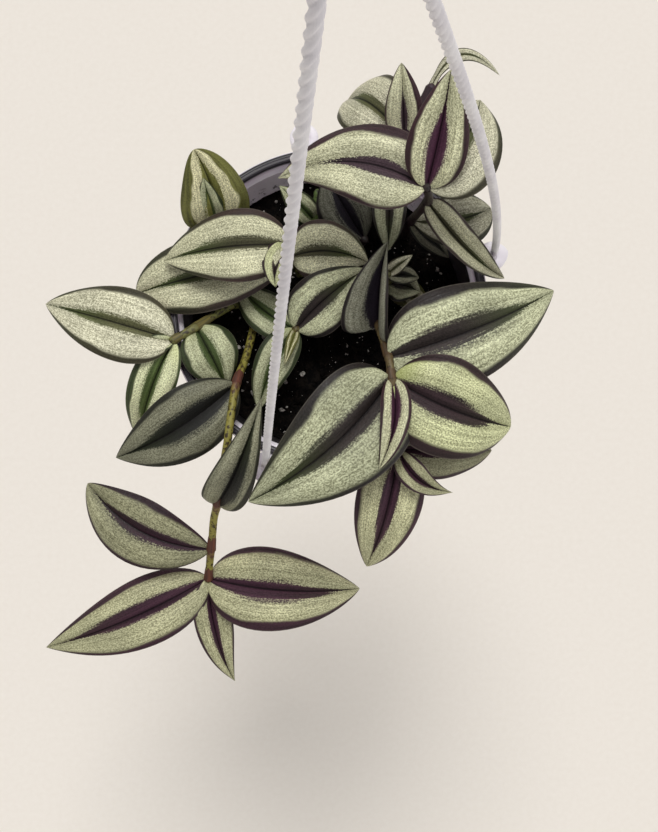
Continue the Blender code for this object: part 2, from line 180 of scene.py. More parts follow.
def leafUpperSide():
    look = leafFinish
    material, tree, shader = newMaterial("leafUpperSide")
    u, v = uvPair(tree, "leafMap")
    centre = attribute(tree, "centreTint")
    edge = attribute(tree, "edgeTint")
    silver = attribute(tree, "silverTint")
    shape = attribute(tree, "bandShape")
    uneven = attribute(tree, "uneven").outputs["Fac"]
    ends = attribute(tree, "bandEnd").outputs["Fac"]
    edgeUneven = attribute(tree, "edgeUneven").outputs["Fac"]
    seed = centre.outputs["Alpha"]
    greener = edge.outputs["Alpha"]
    widths = tree.nodes.new("ShaderNodeSeparateColor")
    tree.links.new(shape.outputs["Color"], widths.inputs[0])
    half, margin, soft = widths.outputs[0], widths.outputs[1], widths.outputs[2]

    # across is 0 on the midrib and 1 at the edge; the bands are wider on one side by uneven
    signed = calc(tree, "MULTIPLY_ADD", u, 2.0, -1.0)
    across = calc(tree, "ABSOLUTE", signed)
    side = calc(tree, "SIGN", signed)
    wider = calc(tree, "MULTIPLY_ADD", side, uneven, 1.0)
    streaks = around(tree, u, v, look["streaks"], seed)
    fine = around(tree, u, v, look["fineStreaks"], seed, 2.0)
    point = objectPoint(tree)
    glints = around(tree, u, v, look["glints"], seed, 2.0)
    grain = calc(tree, "MULTIPLY", noisy(tree, point, look["grainScale"], 2.0, 0.7), 0.4)
    grain = rise(tree, calc(tree, "MULTIPLY_ADD", glints, 0.6, grain), 0.41, 0.59)
    drift = rise(tree, around(tree, u, v, look["drift"], seed, 1.0), 0.3, 0.7)
    fineLine = rise(tree, fine, 0.32, 0.68)
    broadLine = rise(tree, streaks, 0.32, 0.68)
    ragged = calc(tree, "MULTIPLY_ADD", streaks, look["raggedEdge"], -look["raggedEdge"] / 2)
    ragged = calc(tree, "ADD", ragged, calc(tree, "MULTIPLY_ADD", fine, 0.12, -0.06))
    ragged = calc(tree, "ADD", ragged, calc(tree, "MULTIPLY_ADD", grain, 0.05, -0.025))

    # where the dark middle and the dark margin reach
    taper = rise(tree, v, calc(tree, "SUBTRACT", ends, 0.45), ends, 1.0, 0.12)
    reach = calc(tree, "MULTIPLY", rise(tree, v, 0.0, 0.3, 0.62, 1.0), taper)
    reach = calc(tree, "MULTIPLY", calc(tree, "MULTIPLY", half, reach), wider)
    inner = calc(tree, "MULTIPLY", reach, calc(tree, "SUBTRACT", 1.0, soft))
    outer = calc(tree, "MULTIPLY", reach, calc(tree, "ADD", 1.0, soft))
    inMiddle = rise(tree, calc(tree, "ADD", across, ragged), inner, outer, 1.0, 0.0)
    margin = calc(tree, "MULTIPLY", margin, calc(tree, "MULTIPLY_ADD", side, edgeUneven, 1.0))
    margin = calc(tree, "MULTIPLY", margin, calc(tree, "MULTIPLY_ADD", drift, 0.6, 0.7))
    start = calc(tree, "SUBTRACT", 0.95, margin)
    end = calc(tree, "SUBTRACT", 1.04, margin)
    inMargin = rise(tree, calc(tree, "MULTIPLY_ADD", ragged, 0.5, across), start, end)

    # silver of grain and lines with painted glints, painted lighter along the ridge of each half and painted
    # shade towards the midrib and the margin, greener at the base
    grainShare, fineShare, broadShare = look["shares"]
    sparkle = calc(tree, "MULTIPLY_ADD", grain, grainShare, calc(tree, "MULTIPLY", fineLine, fineShare))
    sparkle = calc(tree, "MULTIPLY_ADD", broadLine, broadShare, sparkle)
    low = mix(tree, 1.0, silver.outputs["Color"], look["silverDull"], "MULTIPLY")
    bands = mix(tree, sparkle, low, silver.outputs["Color"])
    glint = calc(tree, "MULTIPLY_ADD", sparkle, 2 - 2 * look["dullShare"], look["dullShare"])
    # painted light and shade across each half: lighter on its ridge, darker towards the midrib and the margin
    paintedRidgeLight = rise(tree, across, 0.65, 1.0, 1.0, 0.8)
    paintedRidgeLight = calc(tree, "MULTIPLY", paintedRidgeLight, rise(tree, across, 0.1, 0.5, 0.78, 1.0))
    silverToneAndPaintedLight = calc(tree, "MULTIPLY", paintedRidgeLight, calc(tree, "MULTIPLY_ADD", drift, 0.3, look["silverGain"] - 0.15))
    silverToneAndPaintedLight = calc(tree, "MULTIPLY", glint, silverToneAndPaintedLight)
    bands = scaled(tree, bands, silverToneAndPaintedLight)
    atBase = calc(tree, "MULTIPLY", silver.outputs["Alpha"], rise(tree, v, 0.0, 0.24, 1.0, 0.0))
    bands = mix(tree, atBase, bands, look["baseGreen"])

    # dark middle with its midrib line, partly painted shade of the midrib's crease, and dark margin with a
    # pale line at the very edge
    dim = calc(tree, "MULTIPLY_ADD", broadLine, 0.6, calc(tree, "MULTIPLY_ADD", grain, 0.35, 0.4))
    middle = scaled(tree, centre.outputs["Color"], dim)
    middle = mix(tree, calc(tree, "MULTIPLY", greener, rise(tree, v, 0.35, 0.85)), middle, look["tipGreen"])
    # painted shade darkening towards the midrib, and a near-black line along it
    middle = mix(tree, rise(tree, across, 0.02, 0.12, 0.25, 0.0), middle, look["midrib"])
    middle = mix(tree, rise(tree, across, 0.012, 0.035, 0.75, 0.0), middle, look["midrib"])
    border = mix(tree, calc(tree, "MULTIPLY", greener, rise(tree, v, 0.4, 0.9)), edge.outputs["Color"],
                 look["edgeGreen"])
    border = scaled(tree, border, dim)
    border = mix(tree, rise(tree, across, 0.97, 0.995, 0.0, 0.25), border, look["rimLine"])

    colour = mix(tree, inMiddle, bands, middle)
    colour = mix(tree, inMargin, colour, border)
    # painted light and shade: each leaf's whole colour is scaled by its own number
    colour = scaled(tree, colour, shape.outputs["Alpha"])
    feed(tree, shader.inputs["Base Color"], colour)
    shader.inputs["Specular IOR Level"].default_value = 0.28
    feed(tree, shader.inputs["Roughness"], calc(tree, "MULTIPLY_ADD", grain, 0.14, 0.36))
    height = calc(tree, "MULTIPLY_ADD", fine, 0.9, calc(tree, "MULTIPLY", grain, 0.35))
    height = calc(tree, "MULTIPLY_ADD", streaks, 1.2, height)
    bump(tree, shader, height, 0.00025, 0.6)
    return material


def leafUnderSide():
    look = leafFinish
    material, tree, shader = newMaterial("leafUnderSide")
    u, v = uvPair(tree, "leafMap")
    seed = attribute(tree, "centreTint").outputs["Alpha"]
    streaks = around(tree, u, v, look["fineStreaks"], seed, 2.0)
    across = calc(tree, "ABSOLUTE", calc(tree, "MULTIPLY_ADD", u, 2.0, -1.0))
    colour = mix(tree, rise(tree, streaks, 0.3, 0.7), look["undersideDark"], look["underside"])
    colour = mix(tree, rise(tree, across, 0.02, 0.09, 0.75, 0.0), colour, look["undersideRib"])
    feed(tree, shader.inputs["Base Color"], colour)
    shader.inputs["Roughness"].default_value = 0.42
    bump(tree, shader, streaks, 0.0002, 0.5)
    return material


stemFinish = {          # all but the last are shares of the stem's own colour
    "flush": tint(176, 90, 206),
    "mottle": tint(104, 84, 76),
    "papery": tint(255, 236, 214),
    "sheathLine": tint(30, 14, 18),
}


def flushed(tree, tone):          # the stem's colour turned wine red, as far as its share says
    red = mix(tree, 1.0, tone.outputs["Color"], stemFinish["flush"], "MULTIPLY")
    return mix(tree, tone.outputs["Alpha"], tone.outputs["Color"], red)


def stemSkin():
    material, tree, shader = newMaterial("stemSkin")
    u, v = uvPair(tree, "leafMap")
    tone = attribute(tree, "centreTint")
    near = attribute(tree, "bandShape").outputs["Alpha"]
    mottle = around(tree, u, v, (5, 4.5))
    fine = around(tree, u, v, (18, 9))
    dark = mix(tree, 1.0, tone.outputs["Color"], stemFinish["mottle"], "MULTIPLY")
    colour = mix(tree, rise(tree, mottle, 0.47, 0.6), tone.outputs["Color"], dark)
    near = calc(tree, "MULTIPLY", near, rise(tree, fine, 0.3, 0.7, 0.7, 1.0))
    colour = mix(tree, near, colour, flushed(tree, tone))
    feed(tree, shader.inputs["Base Color"], colour)
    shader.inputs["Roughness"].default_value = 0.5
    bump(tree, shader, calc(tree, "ADD", mottle, fine), 0.0003, 0.6)
    return material


def sheathSkin():          # the papery collar where a leaf clasps the stem
    material, tree, shader = newMaterial("sheathSkin")
    u, v = uvPair(tree, "leafMap")
    stripes = around(tree, u, v, (26, 0.8))
    red = flushed(tree, attribute(tree, "centreTint"))
    pale = mix(tree, 1.0, red, stemFinish["papery"], "MULTIPLY")
    line = mix(tree, 0.5, red, stemFinish["sheathLine"])
    colour = mix(tree, rise(tree, stripes, 0.42, 0.56), pale, line)
    feed(tree, shader.inputs["Base Color"], colour)
    shader.inputs["Roughness"].default_value = 0.55
    bump(tree, shader, stripes, 0.0003, 0.8)
    return material


# Mesh helpers

def addPiece(name, bm, materials, slotName, *nodes):
    mesh = bpy.data.meshes.new(name)
    bm.to_mesh(mesh)
    bm.free()
    for material in materials:
        mesh.materials.append(material)
    mesh.shade_smooth()
    mesh.set_sharp_from_angle(angle=math.radians(50))
    piece = bpy.data.objects.new(name, mesh)
    bpy.context.scene.collection.objects.link(piece)
    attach(piece, "root")
    if nodes:
        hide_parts(*nodes)


def turned(profile, steps, weld):          # a closed shell spun from radius and height pairs
    bm = bmesh.new()
    verts = [bm.verts.new(place(r, 0, z)) for r, z in profile]
    edges = [bm.edges.new(pair) for pair in zip(verts, verts[1:])]
    bmesh.ops.spin(bm, geom=verts + edges, cent=(0, 0, 0), axis=(0, 0, 1), angle=2 * math.pi,
                   steps=steps, use_merge=True)
    bmesh.ops.remove_doubles(bm, verts=bm.verts, dist=weld * mm)
    bmesh.ops.recalc_face_normals(bm, faces=bm.faces)
    return bm


def smoothRoute(points, steps):          # a curve through the points, rounded at each of them
    ends = [points[0]] + list(points) + [points[-1]]
    curve = []
    for a, b, c, d in zip(ends, ends[1:], ends[2:], ends[3:]):
        for i in range(steps):
            t = i / steps
            curve.append(0.5 * (2 * b + (c - a) * t + (2 * a - 5 * b + 4 * c - d) * t * t
                                + (3 * b - a - 3 * c + d) * t * t * t))
    return curve + [points[-1]]


# A tube through the points, whose radius at a step and angle is radiusAt(step, angle)

def sweep(bm, points, radiusAt, sides, uvLayer=None, capped=True, materialIndex=0):
    heading = (points[1] - points[0]).normalized()
    side = heading.orthogonal().normalized()
    ring = bmesh.ops.create_circle(bm, segments=sides, radius=mm, cap_ends=capped)["verts"]
    bottom = list(ring[0].link_faces)
    where = {}
    rings = []
    length = 0.0
    for step, point in enumerate(points):
        if step:
            edges = [e for e in {e for v in ring for e in v.link_edges} if all(v in ring for v in e.verts)]
            made = bmesh.ops.extrude_edge_only(bm, edges=edges)["geom"]
            fresh = [v for v in made if isinstance(v, bmesh.types.BMVert)]
            old = {v: next(o.other_vert(v) for o in v.link_edges if o.other_vert(v) in ring) for v in fresh}
            fresh.sort(key=lambda v: ring.index(old[v]))
            ring = fresh
            length += (point - points[step - 1]).length
        ahead = points[min(step + 1, len(points) - 1)] - points[max(step - 1, 0)]
        heading = ahead.normalized()
        side = (side - heading * side.dot(heading)).normalized()
        other = heading.cross(side)
        for i, vertex in enumerate(ring):
            angle = 2 * math.pi * i / sides
            radius = radiusAt(step, angle)
            vertex.co = point + (side * math.cos(angle) + other * math.sin(angle)) * radius
            where[vertex] = (i, length)
        rings.append(ring)
    if capped:
        bottom += bmesh.ops.contextual_create(bm, geom=ring)["faces"]
    faces = {f for r in rings for v in r for f in v.link_faces}
    bmesh.ops.recalc_face_normals(bm, faces=list(faces))
    for face in faces:
        face.material_index = materialIndex
        if uvLayer is None:
            continue
        spots = [where[loop.vert][0] for loop in face.loops]
        wraps = max(spots) - min(spots) > sides / 2 and face not in bottom
        for loop, spot in zip(face.loops, spots):
            turn = spot + sides if wraps and spot < sides / 2 else spot
            loop[uvLayer].uv = (turn / sides, where[loop.vert][1] / (10 * mm))
    return rings


# Leaf looks: colours of the silver, middle and margin, half width of the middle, width of the margin,
# softness of the middle, how green the dark parts turn to the tip and the silver at the base, where
# along the leaf the middle ends, and how much more the margin leans to one side than the middle does

Look = namedtuple("Look", "silver centre edge half margin soft greener base ends edgeLean",
                  defaults=(0.97, 0.0))
leafLooks = {
    "smoke": Look((188, 191, 160), (60, 52, 50), (44, 38, 36), 0.27, 0.17, 0.26, 0.5, 0.0),
    "plum": Look((178, 177, 144), (74, 46, 60), (62, 38, 48), 0.25, 0.15, 0.2, 0.1, 0.0),
    "fresh": Look((196, 199, 158), (64, 48, 52), (56, 40, 42), 0.25, 0.16, 0.24, 0.1, 0.6),
    "vivid": Look((208, 208, 176), (82, 48, 68), (62, 38, 44), 0.34, 0.19, 0.2, 0.0, 0.0, 0.82),
    "mauve": Look((208, 208, 178), (86, 68, 76), (62, 40, 46), 0.22, 0.19, 0.2, 0.0, 0.0, 0.72, 0.6),
    "dusk": Look((204, 203, 174), (88, 86, 64), (60, 46, 42), 0.2, 0.16, 0.3, 0.75, 0.0),
    "pale": Look((212, 210, 186), (112, 112, 78), (70, 66, 48), 0.2, 0.16, 0.28, 0.7, 0.0),
    "grassy": Look((194, 198, 164), (88, 104, 60), (58, 68, 40), 0.26, 0.19, 0.3, 0.7, 0.3),
    "olive": Look((214, 210, 174), (140, 140, 76), (110, 110, 58), 0.3, 0.36, 0.14, 0.0, 0.0),
    # the last two looks are darker copies, painted shade for leaves that sit in shadow
    "paintedShade": Look((136, 136, 116), (28, 28, 24), (38, 38, 28), 0.34, 0.15, 0.28, 0.15, 0.0),
    "paintedDeepShade": Look((140, 140, 126), (46, 40, 50), (42, 36, 36), 0.32, 0.14, 0.26, 0.0, 0.0),
}

# Stems and leaves as in the solids. A leaf has its point of the stem's route, tip, width, roll, arch,
# fold, bend, place of the widest part and sharpness of the tip, and here the look, painted light and
# shade, and lean of its bands. The wine of a stem is how red it turns at its nodes.

Leaf = namedtuple("Leaf", "at tip width roll arch fold bend belly point look light lean",
                  defaults=(0, 4, 12, 0, 0.37, 0.85, "smoke", 1.0, 0.0))
stems = {
    "trailing_stem": {
        "tone": (148, 140, 64), "wine": 0.9,
        "route": [(-28, -5, -12), (-31, -20, -4), (-34, -30, 3), (-36, -46, 7), (-38, -58, 4),
                  (-42, -74, -13), (-44, -81, -21), (-46, -92, -34), (-48, -104, -45)],
        "leaves": [
            Leaf(2, (-79, -57, -3), 27, 10, 5, 10, -2.5, 0.41, 0.9, look="paintedShade", light=0.8),
            Leaf(5, (-24, -36, 14), 18.5, -6, 10, 22, 1.7, 0.28, 0.95, look="paintedShade", light=1.15, lean=0.5),
            Leaf(7, (-94, -66, -28), 28, 16, 5, 12, -5.5, 0.5, 0.75, look="plum", light=0.68, lean=0.3),
            Leaf(8, (-114, -132, -50), 28, -6, 5, 10, -3, 0.37, 1.0, look="plum", light=0.95, lean=0.2),
            Leaf(8, (13, -108, -44), 34, 6, 5, 10, 3, look="plum", light=1.1, lean=0.2),
            Leaf(8, (-38, -147, -60), 17, 10, 4, 24, 3, 0.33, 1.1, look="plum", light=1.05),
        ],
    },
    "front_right_stem": {
        "tone": (106, 92, 58), "wine": 0.3,
        "route": [(19, 2, -12), (19, -8, 2), (22, -21, 12), (23, -29, 14), (25, -42, 11), (26, -54, 5)],
        "leaves": [
            Leaf(2, (83, 4, 9), 37.5, -8, 5, 8, 2, 0.34, look="smoke", lean=-0.25),
            Leaf(3, (67, -46, 6), 37, -4, 6, 10, 2.5, 0.42, 0.65, look="fresh"),
            Leaf(3, (-28.5, -73.5, 16), 41, 10, 5, 18, -4, 0.3, look="smoke", light=0.88, lean=0.15),
            Leaf(3, (18, -62, 21), 13, 0, 3, 30, -3, look="vivid", light=0.9),
            Leaf(5, (62, -54, -9), 22, -10, 3, 10, look="plum", light=0.75),
            Leaf(5, (15, -98, -18), 25.5, 0, 4, 12, -1.5, 0.37, 0.8, look="plum", light=1.2),
            Leaf(5, (46, -70, 4), 12, 0, 3, 30, 4.5, 0.37, 1.3, look="plum", light=0.9),
            Leaf(1, (21, 18, 30), 34, 26, 0, 54, -1.5, 0.16, look="paintedDeepShade", light=1.1),
        ],
    },
    "left_stem": {
        "tone": (116, 116, 62), "wine": 0.15,
        "route": [(-33, 2, -12), (-38, 0, -6), (-49, -9, 4), (-57, -14, 6)],
        "leaves": [
            Leaf(3, (-105, 0, 2), 28, 0, 4, 10, look="pale"),
            Leaf(3, (-74, -19, 5), 8, 0, 1, 25, look="grassy"),
            Leaf(3, (-72, -50, -16), 19, 0, 4, 22, 1.5, look="grassy", light=1.32, lean=0.3),
            Leaf(2, (-38, -31, -4), 22, 10, 3, 12, look="grassy", light=0.85),
        ],
    },
    "upper_left_stem": {
        "tone": (112, 114, 64), "wine": 0.4,
        "route": [(-11, 15, -12), (-14, 18, 1), (-14, 20, 13)],
        "leaves": [
            Leaf(2, (-60.5, 15, 8), 27.5, 0, 4, 10, 1.5, look="dusk", lean=0.25),
            Leaf(1, (15, 15, 5), 24, 0, 2, 12, -3, look="dusk", light=0.95),
            Leaf(2, (-19, 4, 16), 12, 0, 1, 20, 2.5, look="fresh", light=0.9),
            Leaf(1, (-71.5, 4, 1), 29, 0, 2, 10, 1, 0.55, 0.6, look="dusk", light=0.92),
        ],
    },
    "rim_stem": {
        "tone": (124, 128, 60), "wine": 0.2,
        "route": [(-36, 25, -12), (-42, 29, 0)],
        "leaves": [
            Leaf(1, (-48, 52, 25), 26, 0, 2, 10, 2.4, 0.3, 0.6, look="olive", light=1.12),
            Leaf(1, (-45, 43, 20), 11, 0, 1, 16, look="grassy"),
            Leaf(1, (-33, 34, 8), 5, 0, 1, 25, look="grassy"),
        ],
    },
    "middle_stem": {
        "tone": (116, 108, 58), "wine": 0.4,
        "route": [(-8, -4, -12), (-12, -9, -2)],
        "leaves": [
            Leaf(1, (14, 12, 9), 22.5, -6, 3, 10, -1.5, look="smoke", light=1.05),
            Leaf(1, (-26, -39, -5), 15.5, 0, 3, 16, 2, look="grassy", light=0.8),
            Leaf(1, (-34, 9.5, -9), 17, 0, 2, 12, -2, look="grassy", light=0.8),
            Leaf(1, (-16, -23, 5), 5, 0, 2, 30, look="olive", light=0.9),
        ],
    },
    "tall_stem": {
        "tone": (50, 38, 36), "wine": 0.6,
        "route": [(30, 30, -12), (31, 31, 5), (35, 32, 30), (33, 32, 50)],
        "leaves": [
            Leaf(3, (-17.5, 37.5, 40), 29, 0, 5, 8, 6, 0.3, 1.05, look="mauve", light=0.97, lean=-0.18),
            Leaf(3, (39, 64, 74), 22, 0, 2, 22, 0.5, 0.38, look="vivid"),
            Leaf(3, (52, 64, 44), 30, 0, 4, 10, 3, look="pale", light=0.85),
            Leaf(2, (66, 10, 1), 14.5, 0, 3, 32, 3, 0.28, look="dusk", light=0.84),
            Leaf(1, (60.5, 35.5, 6), 22, 0, 3, 12, 3, 0.6, 0.7, look="pale", light=0.5),
            Leaf(1, (46, 19, -5), 9, 0, 1, 12, look="paintedShade", light=0.6),
        ],
    },
    "back_stem": {
        "tone": (62, 44, 50), "wine": 0.6,
        "route": [(20, 38, -12), (23, 46, 6), (27, 55, 28), (36, 71.5, 34)],
        "leaves": [
            Leaf(2, (7, 73.4, 14), 26, 0, 9, 8, 1, 0.5, 0.7, look="pale", light=0.85),
            Leaf(2, (25, 77, 44), 14, 0, 2, 16, look="mauve", light=1.0),
            Leaf(3, (60.8, 77.5, 30), 5, 0, 3, 10, -8.9, 0.5, look="pale", light=0.9),
            Leaf(1, (22.5, 20.5, 0), 13.5, 0, 3, 16, look="smoke", light=0.6),
        ],
    },
    "centre_stem": {
        "tone": (52, 44, 40), "wine": 0.4,
        "route": [(12, 25, -14), (14, 27, -10)],
        "leaves": [Leaf(1, (-1, 47, 9), 22, 14, 1, 12, 0, 0.5, look="paintedDeepShade", light=0.5)],
    },
    "slim_stem": {
        "tone": (92, 112, 56), "wine": 0.2,
        "route": [(-5, 30, -13), (-5, 33, -6), (-4, 43, -2)],
        "leaves": [Leaf(1, (-18, 43, 9), 11, 0, 2, 12, look="grassy", light=0.9)],
    },
    "low_stem": {
        "tone": (104, 106, 62), "wine": 0.3,
        "route": [(23, 10, -13), (23, 10, -6), (22, 11, 5)],
        "leaves": [
            Leaf(1, (35, 6, -5), 14, 0, 2, 12, look="smoke", light=0.75),
            Leaf(1, (39, 1, -10), 12, 0, 1, 12, look="olive", light=0.5),
            Leaf(2, (34, 10, 2), 8, 0, 2, 20, look="paintedShade", light=0.9),
            Leaf(2, (31, 17, 10), 6, 0, 1, 20, look="pale"),
            Leaf(2, (15, 15, 9), 5, 0, 1, 20, look="pale"),
        ],
    },
}

leafForm = {
    "across": 28, "along": 32,
    "thick": 0.55,
    "neck": 1.5,
    "curl": 0.16,
    "pillow": 0.11,
    "ribs": 4, "ribHeight": 0.09,
    "crease": 0.5, "creaseWidth": 0.06,
    "wave": 0.5, "waves": 9, "waveShift": 2.5,          # of the edges, and from one edge to the other
    "reliefWidth": 6.0,          # half width from which the relief is full
    "endTaper": 12,          # the blade thins over a twelfth of its length at each end
    "rootStep": 0.25,
}
stemForm = {
    "sides": 16, "steps": 6,
    "radius": 1.5, "swell": 1.15, "nodeSteps": 1.2,
    "knobbly": 0.05,
    "buried": (-34.0, -19.0),
    "dome": ((0.7, 0.92), (1.3, 0.66), (1.65, 0.25)),          # past the end: distance, share of the radius
    "sheath": 3, "sheathRadii": (1.4, 1.72, 1.8, 1.95),
}


def leafBreadth(t, belly, point):          # half width at t as a share of the widest
    roundBase = point * belly / (1 - belly)
    most = belly ** roundBase * (1 - belly) ** point
    return t ** roundBase * (1 - t) ** point / most


def leafAxes(base, tip, roll):
    along = tip - base
    length = along.length
    along.normalize()
    right = along.cross(Vector((0, 0, 1))).normalized()
    up = right.cross(along)
    turn = math.radians(roll)
    raised = right * math.cos(turn) + up * math.sin(turn)
    return length, along, raised, raised.cross(along)


def leafPoint(leaf, axes, base, t, u, below):
    form = leafForm
    length, along, right, up = axes
    bow = up * leaf.arch + right * leaf.bend
    middle = base + along * (length * t) + bow * (4 * t * (1 - t))
    heading = (along * length + bow * (4 - 8 * t)).normalized()
    side = (right - heading * right.dot(heading)).normalized()
    out = side.cross(heading)
    half = max(leaf.width / 2 * leafBreadth(t, leaf.belly, leaf.point), form["neck"] * (1 - t))
    fold = math.radians(leaf.fold)
    spread = abs(u)
    lift = half * (math.sin(fold) * spread - form["curl"] * spread ** 3)
    lift += half * form["pillow"] * math.sin(math.pi * spread)
    full = min(1, half / form["reliefWidth"])          # relief fades out towards the ends
    lift += full * form["ribHeight"] * math.cos(2 * math.pi * form["ribs"] * spread) * (1 - spread)
    lift -= full * form["crease"] * math.exp(-(spread / form["creaseWidth"]) ** 2)
    phase = form["waves"] * t + leaf.width + form["waveShift"] * (u > 0)
    lift += full * form["wave"] * math.sin(phase) * spread ** 3
    thick = form["thick"] * (1 - u ** 4) * min(1, form["endTaper"] * t, form["endTaper"] * (1 - t))
    return middle + side * (half * u * math.cos(fold)) + out * (lift - thick * below)


def rowPlace(vertex):          # rows lie closer together towards the leaf's ends
    return (1 - math.cos(math.pi * (vertex.co.y + 1) / 2)) / 2


def addLeaf(bm, layers, leaf, base, seed):
    form = leafForm
    axes = leafAxes(base, Vector(leaf.tip), leaf.roll)
    look = leafLooks[leaf.look]
    both = []
    for below in (0, 1):
        verts = bmesh.ops.create_grid(bm, x_segments=form["across"], y_segments=form["along"],
                                      size=1)["verts"]
        faces = list({f for v in verts for f in v.link_faces})
        for face in faces:
            face.material_index = below
            for loop in face.loops:
                loop[layers["uv"]].uv = ((loop.vert.co.x + 1) / 2, rowPlace(loop.vert))
        for vertex in verts:
            vertex.co = place(*leafPoint(leaf, axes, base, rowPlace(vertex), vertex.co.x, below))
            vertex[layers["centre"]] = (*tint(*look.centre), seed)
            vertex[layers["edge"]] = (*tint(*look.edge), look.greener)
            vertex[layers["silver"]] = (*tint(*look.silver), look.base)
            # the alpha holds the leaf's painted light and shade
            vertex[layers["shape"]] = (look.half, look.margin, look.soft, leaf.light)
            vertex[layers["uneven"]] = leaf.lean
            vertex[layers["edgeUneven"]] = leaf.lean + look.edgeLean
            vertex[layers["ends"]] = look.ends
        if below:
            bmesh.ops.reverse_faces(bm, faces=faces)
        both += verts
    bmesh.ops.remove_doubles(bm, verts=both, dist=0.000002)


def makeStem(name, stem, materials, seed):
    form = stemForm
    bm = bmesh.new()
    layers = {
        "uv": bm.loops.layers.uv.new("leafMap"),
        "centre": bm.verts.layers.float_color.new("centreTint"),
        "edge": bm.verts.layers.float_color.new("edgeTint"),
        "silver": bm.verts.layers.float_color.new("silverTint"),
        "shape": bm.verts.layers.float_color.new("bandShape"),
        "uneven": bm.verts.layers.float.new("uneven"),
        "edgeUneven": bm.verts.layers.float.new("edgeUneven"),
        "ends": bm.verts.layers.float.new("bandEnd"),
    }
    x, y = stem["route"][0][:2]
    route = [Vector((x, y, z)) for z in form["buried"]] + [Vector(p) for p in stem["route"]]
    points = [place(*p) for p in smoothRoute(route, form["steps"])]
    nodes = sorted({leaf.at for leaf in stem["leaves"]})
    joints = [(at + len(form["buried"])) * form["steps"] for at in nodes]

    def closeness(step):
        return max(math.exp(-((step - joint) / form["nodeSteps"]) ** 2) for joint in joints)

    ahead = (points[-1] - points[-2]).normalized()
    count = len(points)
    points += [points[-1] + ahead * (out * mm) for out, _ in form["dome"]]

    def radiusAt(step, angle):
        grown = form["radius"] * (1 + (form["swell"] - 1) * closeness(min(step, count - 1)))
        if step >= count:
            grown *= form["dome"][step - count][1]
        return mm * grown * (1 + form["knobbly"] * math.sin(3 * angle + step * 0.7))

    tone = (*tint(*stem["tone"]), stem["wine"])
    rings = sweep(bm, points, radiusAt, form["sides"], layers["uv"], True, 2)
    for step, ring in enumerate(rings):
        for vertex in ring:
            vertex[layers["centre"]] = tone
            vertex[layers["shape"]] = (0, 0, 0, closeness(step))

    def sheathAt(step, angle):
        return mm * (form["sheathRadii"][step] + form["knobbly"] * math.sin(5 * angle))

    for joint in joints:
        collar = points[joint - form["sheath"]:joint + 1]
        for ring in sweep(bm, collar, sheathAt, form["sides"], layers["uv"], False, 3):
            for vertex in ring:
                vertex[layers["centre"]] = tone
    for i, leaf in enumerate(stem["leaves"]):
        base = Vector(stem["route"][leaf.at]) - Vector((0, 0, leafForm["rootStep"] * i))
        addLeaf(bm, layers, leaf, base, seed + 3.7 * i)          # each leaf has its own noise
    addPiece(name + "_fine", bm, materials, "striped_leaf", name)


def makePlant():
    materials = [leafUpperSide(), leafUnderSide(), stemSkin(), sheathSkin()]
    for i, (name, stem) in enumerate(stems.items()):
        makeStem(name, stem, materials, 11.3 * i)
    print("plant grown")


# Pot

potForm = {
    "steps": 160,
    "rimRadius": 60.0, "rimWidth": 3.4, "rimStep": 1.0, "lipHeight": 7.0,
    "wall": 1.6, "height": 95.0, "baseRadius": 43.0, "floor": 2.0,
    "baseRings": (23.0, 31.0), "weld": 0.02,
}
ears = {"left": 249.0, "right": 17.0, "back": 98.0}
earForm = {
    "radius": 64.6, "pad": 5.4, "nose": 6.2, "noseSpread": 0.7, "thick": 2.6, "hole": 1.7,
    "sides": 36, "round": 0.3, "sink": 0.2,
}
potLook = {
    "white": (tint(232, 226, 235), tint(240, 235, 242)),
    "rimShadeRadii": (56.2, 56.6, 59.4, 59.8),          # radii where the painted shade band on the rim top fades in and out
    "rimPaintedShade": (tint(40, 37, 42), tint(96, 91, 98)),
    "wallShadeDepth": (6.0, 4.5), "wallShadeBack": (20.0, 34.0),          # painted shade on the inside of the wall below the rim, none at the back
    "wallShadeTints": (tint(14, 12, 12), tint(52, 47, 48)),
    "speckDepth": (19.0, 9.0), "innerSpecks": tint(44, 36, 34),
    "glow": 0.5, "glowReach": 0.004,          # light shines through the thin wall
}


def wallInside(z):
    form = potForm
    top = form["rimRadius"] - form["rimWidth"] - form["rimStep"]
    bottom = form["baseRadius"] - form["wall"]
    return bottom + (top - bottom) * (z + form["height"]) / form["height"]


def belowRim(tree, z, depths):          # 1 below the first depth, 0 above the second
    low, high = [-(rimDrop + depth) * mm for depth in depths]
    return rise(tree, z, low, high, 1.0, 0.0)


